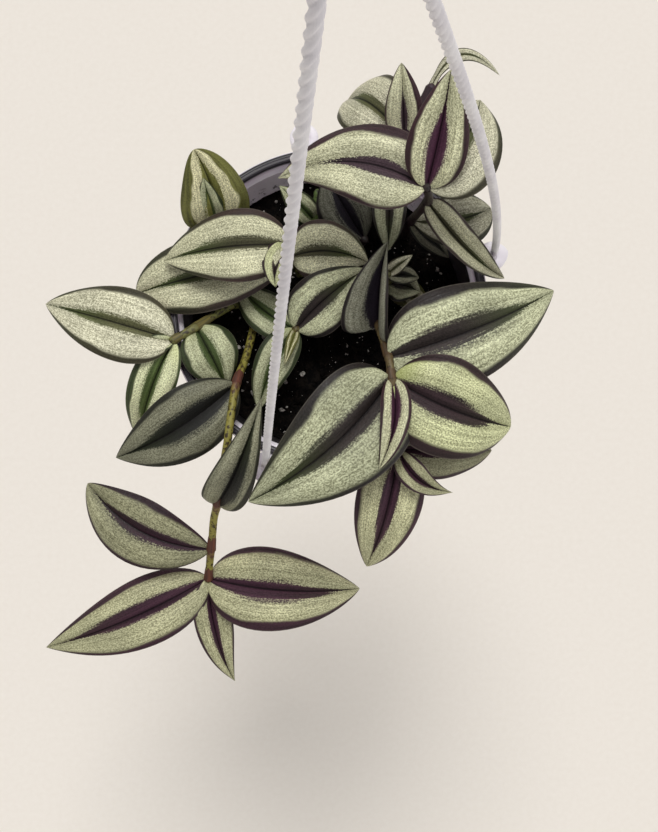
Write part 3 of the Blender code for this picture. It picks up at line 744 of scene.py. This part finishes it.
def potPlastic():
    look = potLook
    material, tree, shader = newMaterial("potPlastic")
    point = objectPoint(tree)
    split = tree.nodes.new("ShaderNodeSeparateXYZ")
    tree.links.new(point, split.inputs[0])
    x, y, z = split.outputs
    radius = calc(tree, "SQRT", calc(tree, "ADD", calc(tree, "MULTIPLY", x, x), calc(tree, "MULTIPLY", y, y)))
    cloud = noisy(tree, point, 60, 3.0)
    fine = noisy(tree, point, 900, 2.0)
    white = mix(tree, rise(tree, cloud, 0.3, 0.7), *look["white"])
    # painted shade on the white plastic: a dark band across the rim top, with lighter concentric lines
    rimTop = rise(tree, z, -rimDrop * mm - 0.003, -rimDrop * mm - 0.0015)
    fadeIn, dark, darkEnd, fadeOut = [r * mm for r in look["rimShadeRadii"]]
    paintedRimShade = rise(tree, radius, fadeIn, dark)
    paintedRimShade = calc(tree, "MULTIPLY", paintedRimShade, rise(tree, radius, darkEnd, fadeOut, 1.0, 0.0))
    rings = noisy(tree, joined(tree, calc(tree, "MULTIPLY", radius, 1500.0), 0.0), 1.0, 1.0)
    paintedShade = mix(tree, rise(tree, rings, 0.42, 0.66), *look["rimPaintedShade"])
    colour = mix(tree, calc(tree, "MULTIPLY", rimTop, paintedRimShade), white, paintedShade)
    # the wall's own slope tells its inside from its clean outside; only the inside gets the painted shade and
    # the specks
    slope = wallInside(0) - wallInside(-1)
    midWall = calc(tree, "MULTIPLY_ADD", z, slope, (wallInside(rimDrop) + potForm["wall"] / 2) * mm)
    inside = calc(tree, "LESS_THAN", radius, midWall)
    # painted shade on the inside of the wall just below the rim, fading out towards the back
    front, back = [distance * mm for distance in look["wallShadeBack"]]
    paintedWallShade = calc(tree, "MULTIPLY", belowRim(tree, z, look["wallShadeDepth"]), rise(tree, y, front, back, 0.96, 0.0))
    paintedWallShade = calc(tree, "MULTIPLY", paintedWallShade, inside)
    colour = mix(tree, paintedWallShade, colour, mix(tree, cloud, *look["wallShadeTints"]))
    # dark specks on the inside of the wall, 9 to 19 mm below the rim
    innerSpecks = calc(tree, "MULTIPLY", belowRim(tree, z, look["speckDepth"]), inside)
    specks = rise(tree, noisy(tree, point, 420, 3.0, 0.7), 0.56, 0.64)
    darkSpecks = calc(tree, "MULTIPLY", innerSpecks, specks)
    colour = mix(tree, calc(tree, "MULTIPLY", darkSpecks, 0.8), colour, look["innerSpecks"])
    feed(tree, shader.inputs["Base Color"], colour)
    shader.inputs["Subsurface Weight"].default_value = look["glow"]
    shader.inputs["Subsurface Radius"].default_value = (1, 0.96, 1)
    shader.inputs["Subsurface Scale"].default_value = look["glowReach"]
    feed(tree, shader.inputs["Roughness"], calc(tree, "MULTIPLY_ADD", cloud, 0.14, 0.3))
    bump(tree, shader, fine, 0.0001, 0.2)
    return material


def makePot(material):
    form = potForm
    inner = form["rimRadius"] - form["rimWidth"]
    outer = form["rimRadius"]
    floor = form["floor"] - form["height"]
    low = -form["height"]
    near, far = form["baseRings"]
    profile = [          # up the inside from the middle of the floor, over the grooved rim and down
        (0.01, floor), (near, floor), (far, floor),
        (wallInside(floor) - 1.6, floor), (wallInside(floor) - 0.5, floor + 0.5),
        (wallInside(floor + 1.6), floor + 1.6), (wallInside(-40), -40), (wallInside(-5), -5),
        (inner - 0.2, -4.5), (inner - 0.05, -1.0), (inner + 0.15, -0.35), (inner + 0.5, 0),
        (inner + 1.1, 0), (inner + 1.4, -0.5), (inner + 1.7, -0.5), (inner + 1.95, -0.05),
        (inner + 2.15, -0.05), (inner + 2.35, -0.45), (inner + 2.6, -0.45), (inner + 2.85, 0),
        (outer - 0.35, 0), (outer - 0.1, -0.1), (outer, -0.35), (outer, 0.5 - form["lipHeight"]),
        (outer - 0.15, 0.15 - form["lipHeight"]), (outer - 0.5, -form["lipHeight"]),
        (wallInside(-8) + 1.9, -form["lipHeight"]), (wallInside(-9) + 1.6, -9.5),
        (wallInside(-50) + 1.6, -50), (form["baseRadius"] + 0.2, low + 4.5),
        (form["baseRadius"] - 0.2, low + 4), (form["baseRadius"] - 0.2, low + 1),
        (form["baseRadius"] - 0.5, low + 0.3), (form["baseRadius"] - 1.2, low),
        (far, low), (near, low), (0.01, low),
    ]
    bm = turned(profile, form["steps"], form["weld"])
    for degrees in ears.values():
        addEar(bm, degrees)
    addPiece("pot_shell", bm, [material], "pot_plastic", "pot")
    print("pot turned")


def addEar(bm, degrees):
    form = earForm
    rim = bmesh.ops.create_circle(bm, segments=form["sides"], radius=form["pad"] * mm)["verts"]
    for vertex in rim:
        angle = math.atan2(vertex.co.y, vertex.co.x)
        nose = max(0, 1 - abs(angle) / form["noseSpread"])
        vertex.co.xy *= 1 + nose * (form["nose"] / form["pad"] - 1)
    hole = bmesh.ops.create_circle(bm, segments=form["sides"], radius=form["hole"] * mm)["verts"]
    edges = list({e for v in rim + hole for e in v.link_edges})
    top = bmesh.ops.bridge_loops(bm, edges=edges)["faces"]
    made = bmesh.ops.extrude_face_region(bm, geom=top)["geom"]
    lower = [v for v in made if isinstance(v, bmesh.types.BMVert)]
    bmesh.ops.translate(bm, verts=lower, vec=(0, 0, -form["thick"] * mm))
    verts = list(set(rim + hole + lower))
    faces = list({f for v in verts for f in v.link_faces})
    bmesh.ops.recalc_face_normals(bm, faces=faces)
    sharp = [e for e in {e for v in verts for e in v.link_edges} if e.calc_face_angle(0) > 1]
    bmesh.ops.bevel(bm, geom=sharp, offset=form["round"] * mm, offset_type="OFFSET", segments=2,
                    profile=0.5, affect="EDGES", material=-1)
    verts = [v for v in bm.verts if v.co.z > -0.1]          # the rest of the pot is far below
    bmesh.ops.translate(bm, verts=verts, vec=(0, 0, -form["sink"] * mm))
    bmesh.ops.rotate(bm, verts=verts, cent=(0, 0, 0), matrix=Matrix.Rotation(math.radians(degrees), 3, "Z"))
    bmesh.ops.translate(bm, verts=verts, vec=place(*polar(form["radius"], degrees, 0)))


# Hanger: twisted strands, hub and crook

strandForm = {
    "radius": 1.4, "bow": {"left": 2.0, "right": 5.3, "back": 2.0},
    "knob": 2.5, "hubHeight": 315.0, "hubRing": 6.2, "sides": 20,
    "step": 0.55, "plies": 3, "pitch": 12.6, "groove": 0.46, "crown": 1.03,
    "play": 0.3,          # between a knob and what it bears on
    "plainEnd": 3.0,          # the twist fades in over this length
}
hookForm = {
    "hubRadius": 9.6, "hubThick": 4.0, "hubRound": 0.5, "wire": 2.14, "bend": 11.2, "mouth": 205,
    "neck": (-3, 6, 14), "lean": 3.0,          # heights over the hub, and how far the last one leans
}
hangerWhite = (tint(232, 229, 236), tint(246, 244, 248))


def hangerPlastic():
    material, tree, shader = newMaterial("hangerPlastic")
    point = objectPoint(tree)
    cloud = noisy(tree, point, 90, 2.0)
    fine = noisy(tree, point, 1400, 2.0)
    colour = mix(tree, rise(tree, cloud, 0.35, 0.65), *hangerWhite)
    feed(tree, shader.inputs["Base Color"], colour)
    feed(tree, shader.inputs["Roughness"], calc(tree, "MULTIPLY_ADD", cloud, 0.12, 0.34))
    bump(tree, shader, fine, 0.0001, 0.25)
    return material


def strandPoint(side, height):
    form = strandForm
    t = height / form["hubHeight"]
    radius = earForm["radius"] + (form["hubRing"] - earForm["radius"]) * t
    radius += form["bow"][side] * math.sin(math.pi * max(t, 0.0) ** 0.75)
    return polar(radius, ears[side], height)


def makeStrand(side, material):
    form = strandForm
    bm = bmesh.new()
    foot = -earForm["thick"] - form["play"] - form["knob"]
    head = form["hubHeight"] + hookForm["hubThick"] + form["play"] + form["knob"]
    count = int((head - foot) / form["step"])
    heights = [foot + (head - foot) * i / count for i in range(count + 1)]

    def pointAt(height):          # upright past the ear and the hub
        x, y, _ = strandPoint(side, min(max(height, 0.0), form["hubHeight"]))
        return place(x, y, height)

    def radiusAt(step, angle):
        height = heights[step]
        free = min(1, max(0, (height - 1) / form["plainEnd"]))
        free *= min(1, max(0, (form["hubHeight"] - height) / form["plainEnd"]))
        phase = form["plies"] * (angle - 2 * math.pi * height / form["pitch"])
        dip = 1 - abs(math.cos(phase / 2))
        return mm * form["radius"] * (form["crown"] - free * form["groove"] * dip)

    sweep(bm, [pointAt(height) for height in heights], radiusAt, form["sides"])
    for height in (foot, head):
        bmesh.ops.create_uvsphere(bm, u_segments=24, v_segments=16, radius=form["knob"] * mm,
                                  matrix=Matrix.Translation(pointAt(height)))
    addPiece("strand_" + side, bm, [material], "hanger_plastic", "hanger_strand_" + side)


def makeHook(material):
    form = hookForm
    low = strandForm["hubHeight"]
    bm = bmesh.new()
    middle = Matrix.Translation(place(0, 0, low + form["hubThick"] / 2))
    bmesh.ops.create_cone(bm, cap_ends=True, segments=64, radius1=form["hubRadius"] * mm,
                          radius2=form["hubRadius"] * mm, depth=form["hubThick"] * mm, matrix=middle)
    rims = [e for e in bm.edges if e.calc_face_angle(0) > 1]
    bmesh.ops.bevel(bm, geom=rims, offset=form["hubRound"] * mm, offset_type="OFFSET", segments=3,
                    profile=0.5, affect="EDGES", material=-1)
    neck = low + form["hubThick"]
    centre = rimDrop - form["bend"] + form["wire"]
    root, knee, top = form["neck"]
    route = [(0, 0, neck + root), (0, 0, neck + knee), (form["lean"], 0, neck + top)]
    for degrees in range(-30, form["mouth"] + 1, 15):
        x, z, _ = polar(form["bend"], degrees, 0)
        route.append((x, 0, centre + z))
    points = smoothRoute([place(*p) for p in route], 5)
    last = len(points) - 1

    def radiusAt(step, angle):
        foot = 1 + 0.6 * math.exp(-((step - 5) / 3) ** 2)
        tip = math.sqrt(max(0.05, 1 - max(0, step - last + 3) ** 2 / 9.5))
        return mm * form["wire"] * min(foot, 1.6) * tip

    sweep(bm, points, radiusAt, 24)
    addPiece("hook_and_hub", bm, [material], "hanger_plastic", "hanger_hook")
    print("hanger moulded")


# Soil

soilForm = {
    "drop": 20.0, "mound": 2.5, "rings": 70, "steps": 200, "weld": 0.01,
    "play": 0.3, "foot": 2.2,          # clear of the pot, and its bevelled lower edge
    "scatterEdge": 2.5,          # loose bits keep this far from the pot's wall
    "crumbs": (900, (0.5, 2.4), 0.6, 1),          # count, sizes, flatness and subdivisions
    "perlite": (230, (0.35, 1.5), 0.7, 2),
    "grit": (420, (0.14, 0.34), 0.8, 1),
}
soilLook = {
    "soil": (tint(8, 7, 7), tint(30, 25, 21)), "fibre": tint(56, 46, 38),
    "perlite": (tint(206, 202, 194), tint(112, 104, 96)),
}


def soilHeight(x, y):
    edge = wallInside(-soilForm["drop"]) - soilForm["play"]
    inward = max(0.0, 1 - (x * x + y * y) / (edge * edge))
    lump = math.sin(x * 0.31 + 1.0) * math.sin(y * 0.27 + x * 0.11)
    rough = noise.fractal(Vector((x, y, 3.0)) * 0.35, 0.8, 2.1, 4)
    return -soilForm["drop"] + soilForm["mound"] * inward + 0.7 * lump * (inward > 0.01) + 0.9 * rough


def pottingMix():
    material, tree, shader = newMaterial("pottingMix")
    point = objectPoint(tree)
    coarse = noisy(tree, point, 260, 4.0, 0.7)
    fine = noisy(tree, point, 1600, 3.0, 0.7)
    colour = mix(tree, rise(tree, coarse, 0.42, 0.68), *soilLook["soil"])
    colour = mix(tree, rise(tree, fine, 0.56, 0.72, 0.0, 0.6), colour, soilLook["fibre"])
    feed(tree, shader.inputs["Base Color"], colour)
    shader.inputs["Roughness"].default_value = 0.92
    shader.inputs["Specular IOR Level"].default_value = 0.1
    bump(tree, shader, calc(tree, "ADD", coarse, fine), 0.0008, 0.8)
    return material


def perliteStone():
    material, tree, shader = newMaterial("perliteStone")
    point = objectPoint(tree)
    spots = noisy(tree, point, 1500, 3.0, 0.7)
    colour = mix(tree, rise(tree, spots, 0.4, 0.66), *soilLook["perlite"])
    feed(tree, shader.inputs["Base Color"], colour)
    shader.inputs["Roughness"].default_value = 0.9
    bump(tree, shader, spots, 0.0003, 0.8)
    return material


def scatter(bm, rand, count, sizes, flat, level):
    edge = wallInside(-soilForm["drop"]) - soilForm["scatterEdge"]
    for _ in range(count):
        x, y, _ = polar(edge * math.sqrt(rand.random()), 360 * rand.random(), 0)
        size = sizes[0] + (sizes[1] - sizes[0]) * rand.random() ** 2.5
        spin = Vector((rand.random(), rand.random(), rand.random() + 0.1))
        turn = Matrix.Rotation(rand.random() * 6.3, 4, spin)
        shape = Matrix.Diagonal((size * mm, size * (0.55 + 0.4 * rand.random()) * mm, size * flat * mm, 1))
        where = Matrix.Translation(place(x, y, soilHeight(x, y) + size * 0.3))
        grain = bmesh.ops.create_icosphere(bm, subdivisions=level, radius=1, matrix=where @ turn @ shape)
        for vertex in grain["verts"]:
            push = noise.noise(vertex.co / mm * 1.3)
            vertex.co += (vertex.co - where.translation) * push * 0.5


def makeSoil():
    form = soilForm
    rand = random.Random(8)
    edge = wallInside(-form["drop"]) - form["play"]
    floor = potForm["floor"] - potForm["height"] + form["play"]
    foot = floor + form["foot"]
    profile = [(edge * i / form["rings"], -form["drop"]) for i in range(form["rings"] + 1)]
    profile += [(wallInside(foot) - form["play"], foot)]
    profile += [(wallInside(floor) - form["foot"], floor), (0, floor)]
    bm = turned(profile, form["steps"], form["weld"])
    surface = place(0, 0, -form["drop"] - 1).z
    for vertex in bm.verts:
        if vertex.co.z > surface:
            x, y = vertex.co.x / mm, vertex.co.y / mm
            vertex.co.z = place(0, 0, soilHeight(x, y)).z
    scatter(bm, rand, *form["crumbs"])
    addPiece("potting_mix", bm, [pottingMix()], "potting_mix", "soil")
    bm = bmesh.new()
    scatter(bm, rand, *form["perlite"])
    scatter(bm, rand, *form["grit"])
    addPiece("perlite", bm, [perliteStone()], "potting_mix")
    print("soil filled")


makePlant()
makePot(potPlastic())
hangerMaterial = hangerPlastic()
for side in ears:
    makeStrand(side, hangerMaterial)
makeHook(hangerMaterial)
makeSoil()

# Studio: a plain pale floor, soft light and the camera

studio = {
    "floorHeight": -0.76, "floorSize": 12.0,
    "floorTints": (tint(238, 231, 222), tint(244, 238, 230)),
    "cameraAt": (-2.5, -76.0, 467.0), "cameraAim": (0.4, -41.6, 0.0),
    "lens": 36 * 1260 / 832,          # a focal length of 1260 rows, where 832 rows take 36 mm
    "sky": tint(240, 238, 236), "skyStrength": 0.46,
    "keyFrom": (0.0, 0.53, 1.0), "keySize": 26.0, "keyPower": 1.75, "keyColour": (1.0, 0.995, 0.975),
    "sideFrom": (1.0, -0.3, 0.45), "sideSize": 30.0, "sidePower": 0.5, "sideColour": (0.98, 0.985, 1.0),
}


def makeStudio():
    bm = bmesh.new()
    bmesh.ops.create_grid(bm, x_segments=1, y_segments=1, size=studio["floorSize"] / 2,
                          matrix=Matrix.Translation((0, 0, studio["floorHeight"])))
    mesh = bpy.data.meshes.new("floor")
    bm.to_mesh(mesh)
    bm.free()
    material, tree, shader = newMaterial("floorPaper")
    shader.inputs["Roughness"].default_value = 0.9
    paper = noisy(tree, objectPoint(tree), 300, 2.0)
    feed(tree, shader.inputs["Base Color"], mix(tree, paper, *studio["floorTints"]))
    mesh.materials.append(material)
    floor = bpy.data.objects.new("floor", mesh)
    bpy.context.scene.collection.objects.link(floor)
    for name in ("key", "side"):          # broad, even lights: each is a distant disc this many degrees wide
        lamp = bpy.data.lights.new(name, "SUN")
        lamp.angle = math.radians(studio[name + "Size"])
        lamp.energy = studio[name + "Power"]
        lamp.color = studio[name + "Colour"]
        holder = bpy.data.objects.new(name, lamp)
        holder.rotation_euler = Vector(studio[name + "From"]).to_track_quat("Z", "Y").to_euler()
        bpy.context.scene.collection.objects.link(holder)
    world = bpy.data.worlds.new("studio")
    world.use_nodes = True
    sky = world.node_tree.nodes["Background"]
    sky.inputs["Color"].default_value = (*studio["sky"], 1)
    sky.inputs["Strength"].default_value = studio["skyStrength"]
    bpy.context.scene.world = world
    bpy.context.scene.view_settings.view_transform = "Standard"


def makeCamera():
    data = bpy.data.cameras.new("camera")
    data.lens = studio["lens"]
    data.clip_start = 0.01
    camera = bpy.data.objects.new("camera", data)
    eye = place(*studio["cameraAt"])
    forward = (place(*studio["cameraAim"]) - eye).normalized()
    right = forward.cross(Vector((0, 1, 0))).normalized()
    up = right.cross(forward)
    turn = Matrix((right, up, -forward)).transposed().to_4x4()
    camera.matrix_world = Matrix.Translation(eye) @ turn
    bpy.context.scene.collection.objects.link(camera)
    bpy.context.scene.camera = camera


makeStudio()
makeCamera()
print("studio lit")
